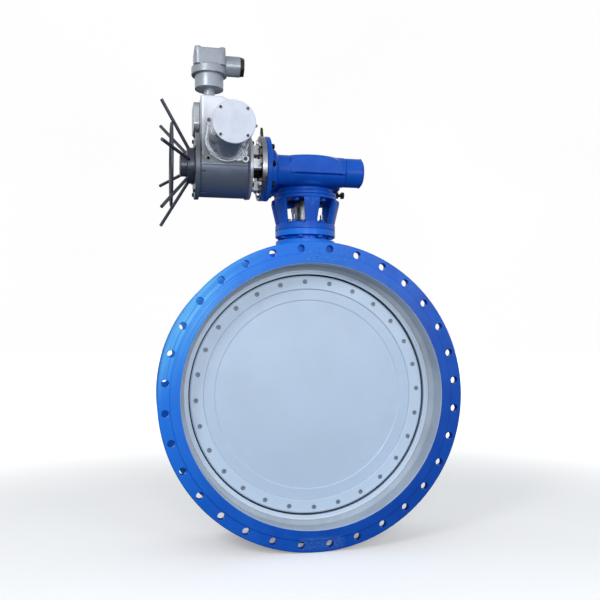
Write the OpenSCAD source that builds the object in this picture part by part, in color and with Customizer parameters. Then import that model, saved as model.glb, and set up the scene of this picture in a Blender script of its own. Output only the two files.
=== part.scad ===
// Double-flanged butterfly valve with a worm gearbox and an electric actuator with a handwheel.
// The pipe axis runs along +Y, the stem along +Z and the drive shaft along X.
// The origin is the centre of the front flange's raised face.

/* [Pipe and flanges] */
// Diameter of the waterway
bore_d = 1200; // [1198:1:1202]
// Distance between the two flange faces
face_to_face = 470; // [468:1:472]
// Outer diameter of each flange
flange_d = 1405; // [1400:1:1410]
// Thickness of each flange, raised face included
flange_t = 45; // [42:1:48]
// Diameter of the raised face
raised_d = 1295; // [1290:1:1300]
// Bolt circle diameter of each flange
flange_pcd = 1340; // [1338:1:1342]
// Bolt holes in each flange
flange_holes = 32; // [28:4:32]
// Diameter of a flange bolt hole
flange_hole_d = 33; // [30:1:36]

/* [Disc and stem] */
// Radius of the ball, centred on the stem, that the disc turns in
swing_r = 571; // [570:0.5:571.5]
// Distance from the stem axis to the middle of the seal
seal_offset = 72; // [71:1:73]
// Diameter of the stem
stem_d = 120; // [118:1:122]
// Screws in the seal retaining ring
ring_screws = 28; // [24:1:32]

/* [Yoke and gearbox] */
// Height of the valve's top flange face above the pipe axis
top_face_z = 774; // [772:1:776]
// Diameter of the valve's top flange
top_flange_d = 288; // [284:1:292]
// Height of the drive shaft above the pipe axis
drive_z = 1040; // [1039:1:1041]
// Centre distance of the worm and its wheel
worm_centres = 125; // [125:1:125]
// Teeth on a full turn of the worm wheel
wheel_teeth = 46; // [46:1:46]
// Module of the gearbox's worm gear
wheel_module = 4; // [4:1:4]

/* [Actuator] */
// Radius of the round part of the actuator's housing
housing_r = 138; // [136:1:138]
// Diameter of the motor's drum
drum_d = 176; // [172:1:180]
// Length of the motor's drum in front of the housing
drum_l = 287; // [280:1:290]
// Radius of the handwheel at the tips of its spokes
spoke_tip_r = 280; // [275:1:285]
// Radius of the handwheel's ring
wheel_ring_r = 181; // [178:1:184]
// Spokes on the handwheel
spokes = 6; // [5:1:6]

/* [Hidden] */
$fn = 96;
stem_y = face_to_face / 2;
stem_r = stem_d / 2;
bore_r = bore_d / 2;
seal_y = stem_y - seal_offset;
drive_y = stem_y - worm_centres;
running = 0.06;
slack = 0.05;
motor_x = -404;
motor_centres = 86;
motor_z = drive_z + motor_centres;
motor_y = drive_y;
gear_module = 3.2;
gear_teeth = 40;
housing_left = -518;
housing_right = -300;
front_y = -28;
box_top = 1320;
terminal_x = -471;
wheel_r = wheel_module * wheel_teeth / 2;
worm_r = worm_centres - wheel_r;

// ---------- helpers ----------

// Revolves an outline of [radius, y] points about the pipe axis.
module about_pipe(points) rotate([-90, 0, 0]) rotate_extrude($fn = 180) polygon(points);

// Turns a child drawn along +Z to point along +X, from x = 0.
module along_x() rotate([0, 90, 0]) children();

// Turns a child drawn along +Z to point along +Y, from y = 0.
module along_y() rotate([-90, 0, 0]) children();

// Copies the children round a circle about Z.
module circle_of(count, radius, start = 0)
    for (i = [0:count - 1]) rotate([0, 0, start + i * 360 / count]) translate([radius, 0, 0]) children();

// A ring or tube about Z, from z = 0.
module tube(outer, inner, height) difference() {
    cylinder(r = outer, h = height);
    translate([0, 0, -1]) cylinder(r = inner, h = height + 2);
}

// A hexagon bar about Z, measured across its flats.
module hexagon(flats, height) cylinder(d = flats / cos(30), h = height, $fn = 6);

// A hexagon bolt with its head below z = 0 and its shank up to z = grip.
module hex_bolt(shank_r, grip, flats, head) {
    translate([0, 0, -head]) hexagon(flats, head);
    translate([0, 0, -0.5]) cylinder(r = shank_r, h = grip + 0.5, $fn = 32);
}

// A hexagon nut from z = 0, with a hole for its stud.
module hex_nut(shank_r, flats, height) difference() {
    hexagon(flats, height);
    translate([0, 0, -1]) cylinder(r = shank_r + slack, h = height + 2, $fn = 32);
}

// A block with upright rounded corners, by its lowest corner and size.
module rounded_block(corner, size, r) translate(corner) {
    translate([r, 0, 0]) cube([size[0] - 2 * r, size[1], size[2]]);
    translate([0, r, 0]) cube([size[0], size[1] - 2 * r, size[2]]);
    for (x = [r, size[0] - r], y = [r, size[1] - r])
        translate([x, y, 0]) cylinder(r = r, h = size[2], $fn = 32);
}

// Moves the children to the stem's axis, the drive shaft's axis or the motor's axis.
module at_stem(z = 0) translate([0, stem_y, z]) children();
module at_drive(x) translate([x, drive_y, drive_z]) along_x() children();
module at_motor(y) translate([motor_x, y, motor_z]) along_y() children();

// ---------- valve ----------

shell_r = 628;
neck_flange_t = 28;
boss_r = 142;
neck_r = 102;
box_r = 82;
bush_r = 74;
boss_top = 726;
lower_face_z = -670;
lower_stem_z = -652;
gasket_t = 2;
bottom_cover_t = 18;
seat_pocket = [116, 172];
seat_pocket_r = 582;
gland_stud_r = 93;
top_bolt_pcd = 244;

// Places on the bottom cover's bolt circle.
module lower_bolt_places(z) at_stem(z) circle_of(6, 95, 30) children();

module flange_holes_at(y) translate([0, y, 0]) rotate([90, 0, 0])
    circle_of(flange_holes, flange_pcd / 2, 180 / flange_holes)
        translate([0, 0, -flange_t / 2 - 10]) cylinder(d = flange_hole_d, h = flange_t + 20, $fn = 32);

module body_outside() {
    f = face_to_face;
    t = flange_t;
    about_pipe([
        [0, 0], [raised_d / 2, 0], [raised_d / 2, 5], [flange_d / 2 - 3, 5], [flange_d / 2, 8],
        [flange_d / 2, t - 3], [flange_d / 2 - 3, t], [shell_r + 14, t], [shell_r, t + 14],
        [shell_r, f - t - 14], [shell_r + 14, f - t], [flange_d / 2 - 3, f - t],
        [flange_d / 2, f - t + 3], [flange_d / 2, f - 8], [flange_d / 2 - 3, f - 5],
        [raised_d / 2, f - 5], [raised_d / 2, f], [0, f]
    ]);
    at_stem(590) cylinder(r = boss_r, h = boss_top - 590);
    at_stem(700) cylinder(r = neck_r, h = top_face_z - 700);
    at_stem(top_face_z - neck_flange_t) cylinder(d = top_flange_d, h = neck_flange_t);
    at_stem(lower_face_z) cylinder(r = 116, h = -590 - lower_face_z);
    for (z = [590, lower_face_z + 20]) translate([-12, t - 5, z]) cube([24, f - 2 * t + 10, 60]);
}

module waterway() about_pipe([
    [0, -1], [bore_r + 4, -1], [bore_r, 3], [bore_r, seat_pocket[0] - 22], [seat_pocket_r, seat_pocket[0] - 4],
    [seat_pocket_r, seat_pocket[1]], [bore_r, seat_pocket[1] + 18], [bore_r, face_to_face - 3],
    [bore_r + 4, face_to_face + 1], [0, face_to_face + 1]
]);

// The bosses inside the waterway that carry the stem's two bearings.
module inner_bosses() difference() {
    for (z = [swing_r - 2.5, -bore_r - 8]) at_stem(z) cylinder(r = 100, h = bore_r + 10.5 - swing_r);
    about_pipe([[0, 0], [seat_pocket_r, 0], [seat_pocket_r, seat_pocket[1]], [0, seat_pocket[1]]]);
}

module stem_bores() {
    at_stem(540) cylinder(r = stem_r + 2, h = 300);
    at_stem(584) cylinder(r = bush_r, h = 110);
    at_stem(692) cylinder(r = box_r, h = 100);
    at_stem(-600) cylinder(r = stem_r + 2, h = 60);
    at_stem(lower_face_z - 10) cylinder(r = bush_r, h = -584 - lower_face_z + 10);
}

module valve_body() color("royalblue") difference() {
    union() {
        difference() {
            body_outside();
            waterway();
        }
        inner_bosses();
    }
    stem_bores();
    flange_holes_at(flange_t / 2);
    flange_holes_at(face_to_face - flange_t / 2);
    at_stem(boss_top) circle_of(8, top_bolt_pcd / 2, 22.5) cylinder(r = 8.5, h = 60, $fn = 32);
    at_stem(top_face_z - 26) circle_of(4, gland_stud_r, 45) cylinder(r = 8 + slack, h = 40, $fn = 32);
    lower_bolt_places(lower_face_z - 1) cylinder(r = 8 + slack, h = 38, $fn = 32);
}

// Radius that the seat keeps at a given y, just outside the ball the disc turns in.
function seat_r(y) = sqrt(pow(swing_r + 1.2, 2) - pow(y - stem_y, 2));

module body_seat_ring() color("lightsteelblue") about_pipe([
    [seat_r(126), 128], [seat_r(126) + 2, 126], [572, 126], [572, 122], [seat_pocket_r - slack, 120],
    [seat_pocket_r - slack, seat_pocket[1] - 2], [seat_r(168), seat_pocket[1] - 2], [seat_r(168), 168]
]);

seal_in = 500;
ring_in = 493;
disc_face_y = 146;

module disc_ribs() for (z = [-330, -150, 150, 330], reach = [abs(z) > 200 ? 420 : 500])
    translate([0, 0, z - 11]) linear_extrude(22)
        polygon([[-reach, 190], [-reach, 204], [-86, 312], [86, 312], [reach, 204], [reach, 190]]);

module disc_blank() {
    about_pipe([[0, disc_face_y + 3], [440, disc_face_y + 3], [444, disc_face_y], [556, disc_face_y],
        [556, 190], [550, 196], [0, 196]]);
    at_stem(-555) cylinder(r = 86, h = 1110);
    disc_ribs();
}

module disc() color("lightsteelblue") difference() {
    disc_blank();
    about_pipe([[ring_in - slack, 0], [swing_r, 0], [swing_r, seal_y + 5], [seal_in - slack, seal_y + 5],
        [seal_in - slack, seal_y - 5], [ring_in - slack, seal_y - 5]]);
    for (z = [230, -560]) at_stem(z) cylinder(r = stem_r, h = 330);
    disc_pin_places() cylinder(r = 14, h = 160, $fn = 32);
    screw_places(175.5) cylinder(r = 6, h = 60, $fn = 32);
}

// Places on the seal retaining ring's screw circle, pointing out of the disc's front.
module screw_places(y) translate([0, y, 0]) rotate([90, 0, 0])
    circle_of(ring_screws, 528, 90 + 2.3) children();

module disc_pin_places() for (z = [290, 430, -290, -430]) translate([0, 172, z]) along_y() children();

module disc_pins() color("silver") disc_pin_places() {
    cylinder(r = 14 - slack, h = 146, $fn = 32);
    translate([0, 0, 146]) cylinder(r1 = 14 - slack, r2 = 11, h = 3, $fn = 32);
}

module disc_seal_ring() color("dimgray") difference() {
    about_pipe([
        [seal_in, seal_y - 5 + slack], [sqrt(pow(swing_r, 2) - pow(seal_offset + 5, 2)), seal_y - 5 + slack],
        [sqrt(pow(swing_r, 2) - pow(seal_offset - 5, 2)) - 0.5, seal_y + 5 - slack], [seal_in, seal_y + 5 - slack]
    ]);
    screw_places(184) cylinder(r = 7, h = 60, $fn = 32);
}

module seal_retaining_ring() color("lightsteelblue") difference() {
    about_pipe([
        [ring_in, 142], [ring_in + 3, 139], [550, 139], [560, 149], [560, seal_y - 5], [ring_in, seal_y - 5]
    ]);
    screw_places(160) cylinder(r = 7, h = 60, $fn = 32);
    screw_places(149) cylinder(r = 10.6, h = 60, $fn = 32);
}

module retaining_ring_screws() color("silver") screw_places(149) difference() {
    union() {
        cylinder(r = 9.5, h = 9, $fn = 32);
        translate([0, 0, -26]) cylinder(r = 6 - slack, h = 27, $fn = 32);
    }
    translate([0, 0, 4]) hexagon(10, 10);
}

key_w = 24;
gear_stem_r = 50;
shoulder_z = 890;
stem_top = 1104;

module upper_stem() color("silver") difference() {
    at_stem() {
        translate([0, 0, 230 + slack]) cylinder(r = stem_r - slack, h = shoulder_z - 230);
        translate([0, 0, shoulder_z]) cylinder(r = gear_stem_r, h = stem_top - shoulder_z);
    }
    disc_pin_places() cylinder(r = 14, h = 160, $fn = 32);
    translate([gear_stem_r - 9, stem_y - key_w / 2, 960]) cube([40, key_w, 200]);
    at_stem(stem_top - 20) cylinder(r = 6, h = 40, $fn = 32);
}

module lower_stem() color("silver") difference() {
    at_stem(lower_stem_z) cylinder(r = stem_r - slack, h = -230 - slack - lower_stem_z);
    disc_pin_places() cylinder(r = 14, h = 160, $fn = 32);
}

module bush(z, length) at_stem(z) tube(bush_r - slack, stem_r + running, length);
module upper_bearing() color("darkgoldenrod") bush(586, 102);
module lower_bearing() color("darkgoldenrod") bush(lower_stem_z, -586 - lower_stem_z);

module packing_rings() color("black") for (i = [0:3])
    at_stem(692.2 + i * 12.2) tube(box_r - slack, stem_r + running, 12);

module packing_gland() color("royalblue") difference() {
    at_stem() {
        translate([0, 0, 741.2]) cylinder(r = box_r - 0.5, h = 60);
        translate([0, 0, 800]) cylinder(r = 108, h = 12);
        translate([0, 0, 812]) cylinder(r1 = 108, r2 = 74, h = 12);
    }
    at_stem(700) cylinder(r = stem_r + 0.6, h = 200);
    at_stem(790) circle_of(4, gland_stud_r, 45) cylinder(r = 9, h = 60, $fn = 32);
    at_stem(812) circle_of(4, gland_stud_r, 45) cylinder(r = 17, h = 60, $fn = 32);
}

module gland_studs() color("silver") at_stem(top_face_z - 25) circle_of(4, gland_stud_r, 45)
    cylinder(r = 8, h = 98, $fn = 32);

module gland_nuts() color("royalblue") at_stem(812) circle_of(4, gland_stud_r, 45) hex_nut(8, 24, 13);

thrust_t = 10;

module thrust_pad() color("darkgoldenrod") at_stem(lower_stem_z - thrust_t)
    cylinder(r = stem_r - 2, h = thrust_t - running);

module bottom_cover() color("royalblue") difference() {
    at_stem() {
        translate([0, 0, lower_face_z - gasket_t - bottom_cover_t]) cylinder(r = 116, h = bottom_cover_t);
        translate([0, 0, lower_face_z - gasket_t - 1])
            cylinder(r = bush_r - 0.2, h = lower_stem_z - thrust_t - slack - lower_face_z + gasket_t + 1);
    }
    lower_bolt_places(lower_face_z - 40) cylinder(r = 8.6, h = 60, $fn = 32);
}

module bottom_gasket() color("dimgray") difference() {
    at_stem(lower_face_z - gasket_t) tube(115, bush_r, gasket_t);
    lower_bolt_places(lower_face_z - 40) cylinder(r = 8.6, h = 60, $fn = 32);
}

module bottom_cover_bolts() color("royalblue") lower_bolt_places(lower_face_z - gasket_t - bottom_cover_t)
    hex_bolt(8, 50, 24, 9);

// ---------- yoke ----------

yoke_base_top = 801;
yoke_top = 936;
yoke_plate_z = 917;
cage_wide_r = 165;
cage_wall = 22;
window_w = 90;
yoke_bolt_r = 127;

module cage_wall_outline() polygon([
    [top_flange_d / 2 - cage_wall, yoke_base_top - 1], [top_flange_d / 2 - 2, yoke_base_top - 1],
    [top_flange_d / 2 - 2, yoke_base_top], [cage_wide_r, yoke_plate_z - 12], [cage_wide_r, yoke_plate_z],
    [150, yoke_plate_z + 4], [cage_wide_r - cage_wall - 4, yoke_plate_z + 4],
    [cage_wide_r - cage_wall - 4, yoke_plate_z - 12]
]);

module yoke() color("royalblue") difference() {
    union() {
        at_stem(top_face_z + slack) cylinder(d = top_flange_d, h = yoke_base_top - top_face_z - slack);
        at_stem() rotate_extrude() cage_wall_outline();
        at_stem(yoke_plate_z) cylinder(r = 150, h = yoke_top - yoke_plate_z - slack);
    }
    at_stem(top_face_z - 5) cylinder(r = 112, h = yoke_base_top - top_face_z + 10);
    at_stem(yoke_plate_z - 5) cylinder(r = 88, h = 50);
    at_stem(yoke_base_top) circle_of(6, 100)
        translate([0, -window_w / 2, 0]) cube([100, window_w, yoke_plate_z - yoke_base_top]);
    at_stem(yoke_base_top + 2) circle_of(6, 171, 30) cylinder(r = 12, h = yoke_plate_z - yoke_base_top + 4, $fn = 32);
    at_stem(top_face_z - 5) circle_of(8, top_bolt_pcd / 2, 22.5) cylinder(r = 8 + slack, h = 60, $fn = 32);
    at_stem(yoke_plate_z - 5) circle_of(6, yoke_bolt_r) cylinder(r = 8.5, h = 60, $fn = 32);
}

module yoke_base_bolts() color("royalblue") at_stem(top_face_z - neck_flange_t)
    circle_of(8, top_bolt_pcd / 2, 22.5) hex_bolt(8, neck_flange_t + 22, 24, 11);

module yoke_top_bolts() color("royalblue") at_stem(yoke_plate_z) circle_of(6, yoke_bolt_r)
    hex_bolt(8, 32, 24, 11);

// ---------- gearbox ----------

case_r = 168;
case_wall = 18;
case_bottom = 973;
case_top = 1107;
rim_top = 952;
barrel_r = 69;
barrel_right = 158;
collar_left = -200;
input_left = -224;
input_r = 146;
input_bolt_r = 119;
hub_r = 68;
hub_bush_r = 78;
worm_bore = 47;
stop_y = stem_y + 50;
stop_z = 968;
cam = 82;
cover_t = 12;

// The cast hood over the worm, rounded off towards the top and flat in front.
module hood() intersection() {
    at_stem() rotate_extrude() polygon([
        [0, case_bottom + 44], [248, case_bottom + 44], [246, case_bottom + 62], [237, case_bottom + 88],
        [219, case_bottom + 113], [194, case_bottom + 130], [case_r - 12, case_top - 0.5], [0, case_top - 0.5]
    ]);
    translate([-106, drive_y - barrel_r - 3, case_bottom]) cube([258, 170, 200]);
}

module gearbox_outside() {
    at_stem(yoke_top) cylinder(r = 150, h = rim_top - yoke_top);
    at_stem(rim_top - 1) cylinder(r = 134, h = case_bottom - rim_top + 2);
    at_stem(case_bottom) cylinder(r1 = case_r - 8, r2 = case_r, h = 8);
    at_stem(case_bottom + 8) cylinder(r = case_r, h = case_top - case_bottom - 8);
    hood();
    at_drive(collar_left) cylinder(r = barrel_r, h = barrel_right - collar_left);
    at_drive(input_left) cylinder(r = input_r, h = collar_left - input_left);
    at_drive(collar_left - 1) cylinder(r = 92, h = 26);
    at_drive(collar_left + 25) cylinder(r1 = 92, r2 = 70, h = 14);
    for (side = [-1, 1]) translate([side * 100, stop_y, stop_z]) rotate([0, side * 90, 0])
        cylinder(r = 17, h = 64, $fn = 32);
}

// The narrow recess under the front lip of the hood.
module under_lip() translate([-88, drive_y - barrel_r - 10, case_bottom + 38]) cube([226, 26, 7]);

module gearbox_housing() color("royalblue") difference() {
    gearbox_outside();
    at_stem(rim_top) cylinder(r = 119, h = 60);
    at_stem(case_bottom + 8) cylinder(r = case_r - case_wall, h = case_top - cover_t - case_bottom - 8);
    at_stem(case_top - cover_t) cylinder(r = case_r - 10, h = 40);
    at_stem(yoke_top - 1) cylinder(r = hub_bush_r, h = 60);
    at_drive(input_left - 5) cylinder(r = worm_bore, h = barrel_right - input_left + 10);
    at_drive(input_left - 5) circle_of(8, input_bolt_r) cylinder(r = 8.6, h = 40, $fn = 32);
    at_stem(yoke_top - 5) circle_of(6, yoke_bolt_r) cylinder(r = 8 + slack, h = 19, $fn = 32);
    at_stem(case_top - cover_t - 20) circle_of(8, 148, 22.5) cylinder(r = 4 + slack, h = 30, $fn = 32);
    for (side = [-1, 1]) translate([side * 60, stop_y, stop_z]) rotate([0, side * 90, 0])
        cylinder(r = 8 + slack, h = 120, $fn = 32);
    for (a = [0, 120, 240]) at_drive(barrel_right - 20) rotate([0, 0, a]) translate([58, 0, 0])
        cylinder(r = 4 + slack, h = 30, $fn = 32);
    under_lip();
}

module gearbox_cover() color("royalblue") difference() {
    at_stem(case_top - cover_t + slack) cylinder(r = case_r - 10 - slack, h = cover_t - slack);
    at_stem(case_top - 20) cylinder(r = hub_r - 6, h = 40);
    at_stem(case_top - 20) circle_of(8, 148, 22.5) cylinder(r = 4.6, h = 40, $fn = 32);
}

module cover_screws() color("silver") at_stem(case_top) circle_of(8, 148, 22.5) mirror([0, 0, 1])
    hex_bolt(4, 24, 13, 5.5);

module indicator_plate() color("white") difference() {
    at_stem(case_top + slack) tube(hub_r + 20, hub_r - 6, 3);
    for (a = [0, 90]) at_stem(case_top - 1) rotate([0, 0, a + 180]) translate([82, 0, 0])
        cylinder(r = 3, h = 10, $fn = 32);
}

module position_indicator() color("firebrick") difference() {
    at_stem(stem_top + slack) {
        cylinder(r = 56, h = 9);
        translate([0, 0, 9]) cylinder(r1 = 56, r2 = 44, h = 10);
        translate([-84, -7, 10]) cube([60, 14, 7]);
    }
    at_stem(stem_top - 1) cylinder(r = 6 + slack, h = 40, $fn = 32);
}

module wheel_tooth(pitch_r, m, width, lead) {
    translate([pitch_r, 0, 0]) rotate([lead, 0, 0]) translate([0, 0, -width / 2])
        linear_extrude(width) polygon([
            [-1.3 * m - 2, 1.28 * m], [-1.3 * m, 1.15 * m], [0, 0.63 * m], [0.9 * m, 0.3 * m],
            [0.9 * m, -0.3 * m], [0, -0.63 * m], [-1.3 * m, -1.15 * m], [-1.3 * m - 2, -1.28 * m]
        ]);
}

lead_angle = atan(wheel_module / (2 * worm_r));
toothed = 19;

// The wheel has teeth only on the arc that passes the worm in a quarter turn.
module worm_wheel() color("darkgoldenrod") difference() {
    union() {
        at_stem(yoke_top + 2) cylinder(r = hub_r, h = case_top - cover_t - yoke_top - 3);
        at_stem(drive_z - 24) rotate([0, 0, 148]) rotate_extrude(angle = 144)
            translate([hub_r - 5, 0]) square([wheel_r - 1.25 * wheel_module - hub_r + 5, 48]);
        at_stem(drive_z) for (i = [0:toothed - 1])
            rotate([0, 0, -90 + (3 - i) * 360 / wheel_teeth]) wheel_tooth(wheel_r, wheel_module, 46, -lead_angle);
        at_stem(stop_z - 6) cube([cam, cam, 12]);
    }
    at_stem(900) cylinder(r = 62, h = 300);
}

module drive_bush() color("silver") difference() {
    at_stem(yoke_top + 4) cylinder(r = 62 - slack, h = case_top - cover_t - yoke_top - 8);
    at_stem(900) cylinder(r = gear_stem_r + slack, h = 300);
    translate([gear_stem_r - 10, stem_y - key_w / 2, 960]) cube([15, key_w, 130]);
}

module stem_key() color("silver") translate([gear_stem_r - 9 + slack, stem_y - key_w / 2 + slack, 962])
    cube([13, key_w - 2 * slack, 124]);

// One slice of a worm: the thread's height round the axis, as a closed outline.
module worm_outline(root, crest, points) polygon([
    for (i = [0:points - 1]) let (a = i * 360 / points, rise = max(0, min(1, 1.72 - abs(a - 180) / 52)))
        [(root + (crest - root) * rise) * cos(a), (root + (crest - root) * rise) * sin(a)]
]);

// A right-hand single-start thread about Z, centred on z = 0, with its tooth gap facing +X.
module worm_thread(root, crest, lead, turns, points = 20)
    translate([0, 0, -lead * turns / 2]) rotate([0, 0, 180 * turns])
        linear_extrude(lead * turns, twist = -360 * turns, slices = points * turns, segments = points) worm_outline(root, crest, points);

worm_pitch = PI * wheel_module;
shaft_r = 25;

module worm() color("dimgray") difference() {
    at_drive(0) rotate([0, 0, 90]) worm_thread(worm_r - 5, worm_r + 4, worm_pitch, 7);
    at_drive(-60) cylinder(r = shaft_r, h = 120);
}

module worm_shaft() color("silver") {
    at_drive(-256) cylinder(r = shaft_r - slack, h = 256 + 190);
    for (x = [-154, barrel_right - 38]) at_drive(x) tube(31, shaft_r - 1, 10);
}

module worm_bearings() color("silver") for (x = [-178, barrel_right - 26]) at_drive(x) {
    tube(worm_bore - slack, 40, 22);
    tube(33, shaft_r + running, 22);
    translate([0, 0, 9]) tube(40.5, 32.5, 4);
}

module worm_end_cap() color("royalblue") difference() {
    union() {
        at_drive(barrel_right + slack) cylinder(r = 67, h = 77);
        at_drive(barrel_right + 77) cylinder(r1 = 67, r2 = 58, h = 9);
    }
    at_drive(barrel_right - 1) cylinder(r = 44, h = 70);
}

module travel_stops() color("dimgray") for (side = [-1, 1], reach = [side > 0 ? 108 : 94])
    translate([side * (cam + 0.3), stop_y, stop_z]) rotate([0, side * 90, 0]) {
        cylinder(r = 8, h = reach, $fn = 32);
        translate([0, 0, reach]) rotate([0, 0, 30]) hexagon(30, 15);
        translate([0, 0, 82]) rotate([0, 0, 30]) hexagon(30, 12);
    }

// ---------- between gearbox and actuator ----------

plate_left = -246;
post_left = -286;
post_r = 82;
post_w = 42;
coupling_r = 40;

module adapter_plate() color("dimgray") difference() {
    union() {
        at_drive(plate_left) cylinder(r = input_r, h = input_left - plate_left - slack);
        translate([plate_left + 10, drive_y, drive_z]) along_x() linear_extrude(10)
            polygon([[-130, -42], [-150, -26], [-186, -10], [-192, 0], [-186, 8], [-150, 20], [-130, 42]]);
    }
    at_drive(plate_left - 5) cylinder(r = 56, h = 40);
    at_drive(plate_left - 5) circle_of(8, input_bolt_r) cylinder(r = 8.6, h = 40, $fn = 32);
    at_drive(plate_left - 5) circle_of(4, post_r) cylinder(r = 8 + slack, h = 40, $fn = 32);
    at_drive(plate_left) translate([-168, -1, -5]) cylinder(r = 9, h = 40, $fn = 32);
}

module adapter_bolts() color("silver") at_drive(plate_left) circle_of(8, input_bolt_r) {
    hex_bolt(8, 62, 24, 10);
    translate([0, 0, collar_left - plate_left + slack]) difference() {
        hexagon(24, 13);
        translate([0, 0, -1]) cylinder(r = 7.9, h = 16, $fn = 32);
    }
}

module adapter_posts() color("lightgray") at_drive(post_left + slack) circle_of(4, post_r) {
    translate([-post_w / 2, -post_w / 2, 0]) cube([post_w, post_w, plate_left - post_left - 2 * slack]);
    translate([0, 0, plate_left - post_left - 1]) cylinder(r = 8, h = 18, $fn = 32);
    translate([0, 0, -9]) cylinder(r = 8, h = 10, $fn = 32);
}

module shaft_coupling() color("silver") difference() {
    at_drive(-280) cylinder(r = coupling_r, h = 46);
    at_drive(-263) cylinder(r = shaft_r, h = 40);
    at_drive(-300) cylinder(r = sleeve_r, h = 37.5);
}

// ---------- actuator ----------

output_flange_t = post_left - housing_right;
cavity_r = 124;
end_screw_r = 132;
sleeve_r = 30;

// Everything above the slope that takes off the top corner of the housing.
module above_slope(drop) translate([0, 300, 0]) rotate([90, 0, 0]) linear_extrude(400) polygon([
    [-424, box_top - drop], [-224, box_top - 84 - drop], [-224, box_top + 20], [-424, box_top + 20]
]);

module actuator_housing() color("silver") difference() {
    union() {
        at_drive(housing_left) cylinder(r = housing_r, h = housing_right - housing_left);
        difference() {
            rounded_block([housing_left, front_y, drive_z - 20], [218, 263, box_top - drive_z + 20], 14);
            above_slope(0);
        }
        at_drive(housing_right - 7) cylinder(r = housing_r + 6, h = 7);
        translate([terminal_x, drive_y, box_top - 1]) cylinder(r = 42, h = 9);
    }
    at_drive(housing_left - 5) cylinder(r = cavity_r, h = housing_right - housing_left + 10);
    difference() {
        rounded_block([housing_left + 13, front_y + 14, drive_z], [190, 235, box_top - drive_z - 14], 10);
        above_slope(16);
    }
    translate([motor_x, front_y - 5, motor_z]) along_y() cylinder(r = 60, h = 30);
    translate([housing_left - 10, drive_y - 60, 1206]) cube([40, 120, 90]);
    drum_screw_places([45:90:315]) translate([0, 0, -1]) cylinder(r = 5 + slack, h = 16, $fn = 32);
    end_screw_places() cylinder(r = 5 + slack, h = 48, $fn = 32);
    translate([terminal_x, drive_y, box_top - 20]) cylinder(r = 22, h = 40);
}

// Places on both ends of the round housing, pointing into it from the head of each screw.
module end_screw_places() {
    at_drive(housing_left - 20) circle_of(8, end_screw_r, 22.5) children();
    at_drive(post_left) circle_of(4, end_screw_r, 45) mirror([0, 0, 1]) children();
}

module output_flange() color("silver") difference() {
    at_drive(housing_right + slack) cylinder(r = 142, h = output_flange_t - slack);
    at_drive(housing_right - 5) cylinder(r = 52, h = 40);
    at_drive(housing_right - 5) circle_of(4, post_r) cylinder(r = 8 + slack, h = 40, $fn = 32);
    end_screw_places() translate([0, 0, -5]) cylinder(r = 5.6, h = 60, $fn = 32);
}

module end_plate() color("silver") difference() {
    union() {
        at_drive(housing_left - 20) cylinder(r = 150, h = 20 - slack);
        at_drive(housing_left - slack - 1) cylinder(r = cavity_r - 0.3, h = 12);
    }
    at_drive(housing_left - 30) cylinder(r = 52, h = 60);
    end_screw_places() translate([0, 0, -5]) cylinder(r = 5.6, h = 60, $fn = 32);
    translate([housing_left - 40, drive_y - 200, 1173]) cube([80, 400, 60]);
}

module housing_screws() color("silver") end_screw_places() hex_bolt(5, 45, 16, 7);

module drive_sleeve() color("silver") {
    at_drive(-556) cylinder(r = sleeve_r - slack, h = 556 - 263);
    at_drive(-470) tube(44, sleeve_r - 1, 20);
    for (a = [0:60:300]) at_drive(-452) rotate([0, 0, a]) translate([36, -5, 0]) cube([8, 10, 14]);
}

module sleeve_bearings() color("silver") for (x = [housing_left - 16, housing_right - 4]) at_drive(x) {
    tube(52 - slack, 46, 18);
    tube(38, sleeve_r + running, 18);
    translate([0, 0, 7]) tube(46.5, 37.5, 4);
}

gear_r = gear_module * gear_teeth / 2;
motor_worm_r = motor_centres - gear_r;
gear_lead = atan(gear_module / (2 * motor_worm_r));

module drive_gear() color("darkgoldenrod") difference() {
    union() {
        translate([motor_x, drive_y, drive_z]) rotate([0, 90, 0]) {
            translate([0, 0, -13]) cylinder(r = gear_r - 1.25 * gear_module, h = 26);
            translate([0, 0, -18]) cylinder(r = 44, h = 38);
            for (i = [0:gear_teeth - 1]) rotate([0, 0, i * 360 / gear_teeth])
                wheel_tooth(gear_r, gear_module, 24, -gear_lead);
        }
    }
    at_drive(motor_x - 40) cylinder(r = sleeve_r + running, h = 80);
}

motor_shaft_r = 13;
motor_pitch = PI * gear_module;

module motor_shaft() color("silver") {
    at_motor(-296) cylinder(r = motor_shaft_r - slack, h = 296 + 196);
    difference() {
        at_motor(motor_y) rotate([0, 0, 90]) worm_thread(motor_worm_r - 4, motor_worm_r + 3.2, motor_pitch, 6, 16);
        at_motor(motor_y - 50) cylinder(r = motor_shaft_r - 1, h = 100);
    }
}

module motor_rotor() color("dimgray") at_motor(-262) tube(50, motor_shaft_r, 170);

module motor_stator() color("chocolate") {
    at_motor(-254) tube(77, 50.8, 154);
    for (y = [-270, -100]) at_motor(y) tube(72, 56, 16);
}

// Places for the drum's screws. The housing has four holes, and the drum uses two opposite ones.
module drum_screw_places(angles = [45, 225]) for (a = angles) at_motor(front_y)
    rotate([0, 0, a]) translate([113, 0, 0]) children();

// The place of the earth screw on the drum's side, pointing out from inside the drum's wall.
module earth_screw_place() at_motor(front_y - drum_l + 24) rotate([0, 0, 4]) translate([81, 0, 0])
    along_x() children();

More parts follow.
